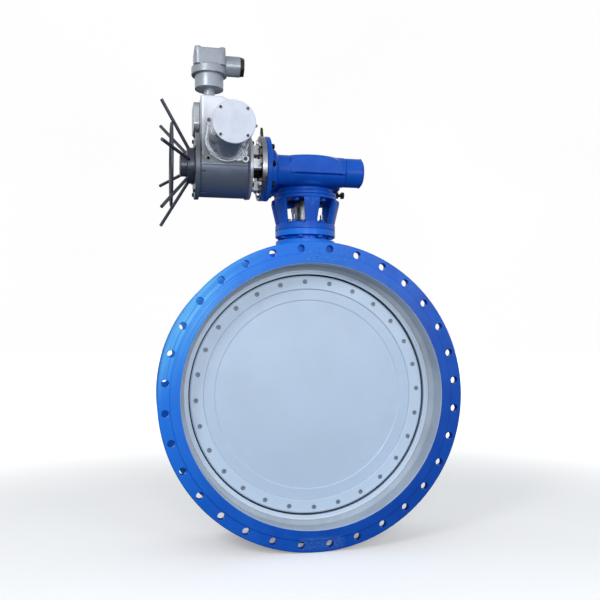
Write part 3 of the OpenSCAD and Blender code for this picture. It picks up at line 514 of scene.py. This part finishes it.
# node: a material slot name that nothing reads, the rebuilt mesh's grain in metres, and how often that is
# smoothed
CAST = {
    "gearbox_housing": ("blue_paint", 0.0030, 12),
    "yoke": ("blue_paint", 0.0022, 7),
    "actuator_housing": ("cast_aluminium", 0.0024, 7),
    "terminal_hood": ("cast_aluminium", 0.0016, 6),
    "terminal_base": ("cast_aluminium", 0.0016, 4),
}
# width of the rounded edges: nodes
ROUNDED = {
    0.0020: ["valve_body", "handwheel_hub", "worm_end_cap", "packing_gland", "end_plate", "output_flange"],
    0.0012: ["motor_drum", "motor_cover", "control_cover", "adapter_plate", "adapter_posts", "bottom_cover",
             "seal_retaining_ring", "body_seat_ring", "disc", "gearbox_cover", "position_indicator"],
    0.0008: ["yoke_base_bolts", "yoke_top_bolts", "gland_nuts", "adapter_bolts", "housing_screws",
             "drum_screws", "travel_stops", "bottom_cover_bolts", "cable_gland", "handwheel_spokes"],
}


def add_modifier(obj, kind, **settings):
    made = obj.modifiers.new(kind.lower(), kind)
    for name, value in settings.items():
        setattr(made, name, value)
    return made


def round_edges(obj, width):
    """Turns the sharp edges of a CAD node over by width, for the line of light along them."""
    add_modifier(obj, "WELD", merge_threshold=1e-5)
    add_modifier(obj, "DECIMATE", decimate_type="DISSOLVE", angle_limit=math.radians(0.4))
    add_modifier(obj, "BEVEL", width=width, segments=2, limit_method="ANGLE", angle_limit=math.radians(32),
                 use_clamp_overlap=False, harden_normals=False)
    add_modifier(obj, "WEIGHTED_NORMAL", keep_sharp=False, weight=60)


def cast_copy(node, voxel, passes):
    """A node rebuilt with the rounded inner and outer corners of a sand casting."""
    source = NODES[node]
    mesh = source.data.copy()
    mesh.transform(source.matrix_world)
    shape = bpy.data.objects.new("cast_" + node, mesh)
    bpy.context.scene.collection.objects.link(shape)
    add_modifier(shape, "WELD", merge_threshold=1e-5)
    add_modifier(shape, "REMESH", mode="VOXEL", voxel_size=voxel, use_smooth_shade=True)
    add_modifier(shape, "SMOOTH", factor=0.5, iterations=passes)
    add_modifier(shape, "DECIMATE", ratio=0.5)
    shaped = bpy.data.meshes.new_from_object(shape.evaluated_get(bpy.context.evaluated_depsgraph_get()))
    shape.modifiers.clear()
    shape.data = shaped
    shaped.materials.clear()
    shaped.materials.append(source.data.materials[0])
    for face in shaped.polygons:
        face.use_smooth = True
    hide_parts(node)
    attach(shape, "body")


for edge, names in ROUNDED.items():
    for name in names:
        round_edges(NODES[name], edge)
for name, (material_slot, voxel, passes) in CAST.items():
    cast_copy(name, voxel, passes)


# ---------------------------------------------------------------- stage, lights and camera

FLOOR_Z = CAD_BOX[0].z
FLOOR_R = 60.0
RIM_POINTS = 64
WHITE = (1, 1, 1)
# From a weak light below to a strong one above
SKY = {"From Min": -0.5, "From Max": 0.6, "To Min": 0.05, "To Max": 0.50}


def rim(z):
    """Points round the edge of the floor, at height z."""
    angles = (math.tau * i / RIM_POINTS for i in range(RIM_POINTS))
    return [(FLOOR_R * math.cos(a), FLOOR_R * math.sin(a), z) for a in angles]


def plain_piece(name, points, faces, material):
    mesh = bpy.data.meshes.new(name)
    mesh.from_pydata(points, [], faces)
    mesh.materials.append(material)
    piece = bpy.data.objects.new(name, mesh)
    bpy.context.scene.collection.objects.link(piece)
    return piece


def make_floor():
    """A pale floor that glows, faintly near the part and more strongly far off, so that it runs off into
    white and has no horizon.
    """
    f = Finish("floor", Roughness=0.8)
    far = f.between(f.about(Z, PIPE_AXIS)[0], 1.6, 5.5)
    tone = f.between(f.noise(0.6, 3.0), 0.3, 0.7)
    f.finish(Base_Color=f.mix(tone, (0.80, 0.81, 0.82), (0.84, 0.85, 0.86)), Emission_Color=WHITE,
             Emission_Strength=f.between(far, 0.0, 1.0, 0.26, 0.9, False))
    floor = plain_piece("floor", rim(FLOOR_Z), [list(range(RIM_POINTS))], f.material)
    floor.visible_diffuse = False
    floor.visible_glossy = False


def make_backdrop():
    """A white wall beyond the floor that the camera and mirror-like surfaces see."""
    f = Finish("backdrop", Roughness=1.0)
    grain = f.between(f.noise(0.05, 2.0), 0.3, 0.7, 0.985, 1.0)
    f.finish(Base_Color=(0, 0, 0), Specular_IOR_Level=0.0, Emission_Color=WHITE, Emission_Strength=grain)
    pairs = [(i, (i + 1) % RIM_POINTS) for i in range(RIM_POINTS)]
    sides = [(a, b, RIM_POINTS + b, RIM_POINTS + a) for a, b in pairs]
    wall = plain_piece("backdrop", rim(FLOOR_Z) + rim(FLOOR_R), sides, f.material)
    wall.visible_diffuse = False
    wall.visible_shadow = False


def area_light(name, place, aim, size, power, colour=WHITE):
    data = bpy.data.lights.new(name, "AREA")
    data.shape = "DISK"
    data.size = size
    data.energy = power
    data.color = colour
    lamp = bpy.data.objects.new(name, data)
    lamp.location = place
    lamp.rotation_mode = "QUATERNION"
    lamp.rotation_quaternion = (Vector(aim) - Vector(place)).to_track_quat("-Z", "Y")
    bpy.context.scene.collection.objects.link(lamp)


def make_sky():
    """Light from all round, strongest from above and weak from below, as over a dark workshop floor."""
    world = bpy.data.worlds.new("studio")
    world.use_nodes = True
    tree = world.node_tree
    height = tree.nodes.new("ShaderNodeSeparateXYZ")
    tree.links.new(tree.nodes.new("ShaderNodeTexCoord").outputs["Generated"], height.inputs[0])
    strength = tree.nodes.new("ShaderNodeMapRange")
    strength.interpolation_type = "SMOOTHSTEP"
    for socket, value in SKY.items():
        strength.inputs[socket].default_value = value
    tree.links.new(height.outputs["Z"], strength.inputs["Value"])
    background = tree.nodes["Background"]
    background.inputs["Color"].default_value = (0.93, 0.965, 1.0, 1)
    tree.links.new(strength.outputs[0], background.inputs["Strength"])
    bpy.context.scene.world = world


def make_lights():
    make_sky()
    area_light("key", place=(-2.6, -3.2, 2.4), aim=(-0.1, 0.1, 0.4), size=1.2, power=62,
               colour=(1.0, 0.985, 0.96))
    area_light("front", place=(-0.6, -4.2, 0.9), aim=(-0.1, 0.1, 0.2), size=1.0, power=60)
    area_light("fill", place=(1.6, -3.8, 1.0), aim=(0.0, 0.1, 0.1), size=1.2, power=32,
               colour=(0.93, 0.96, 1.0))


CAMERA_PLACE = (-0.7305, -3.2252, 0.2534)
CAMERA_YAW, CAMERA_PITCH, CAMERA_ROLL = (math.radians(a) for a in (-11.97, 0.66, 0.05))
CAMERA_LENS = 44.04
CAMERA_SHIFT = (-0.0097, 0.0529)


def make_camera():
    data = bpy.data.cameras.new("camera")
    data.sensor_width = 36.0
    data.lens = CAMERA_LENS
    data.shift_x, data.shift_y = CAMERA_SHIFT
    data.clip_end = 200.0
    camera = bpy.data.objects.new("camera", data)
    turn = (Matrix.Rotation(CAMERA_YAW, 4, "Z") @ Matrix.Rotation(CAMERA_PITCH, 4, "X")
            @ Matrix.Rotation(CAMERA_ROLL, 4, "Y") @ Matrix.Rotation(math.pi / 2, 4, "X"))
    camera.matrix_world = Matrix.Translation(CAMERA_PLACE) @ turn
    bpy.context.scene.collection.objects.link(camera)
    bpy.context.scene.camera = camera


bpy.context.scene.view_settings.view_transform = "Standard"
make_floor()
make_backdrop()
make_lights()
make_camera()
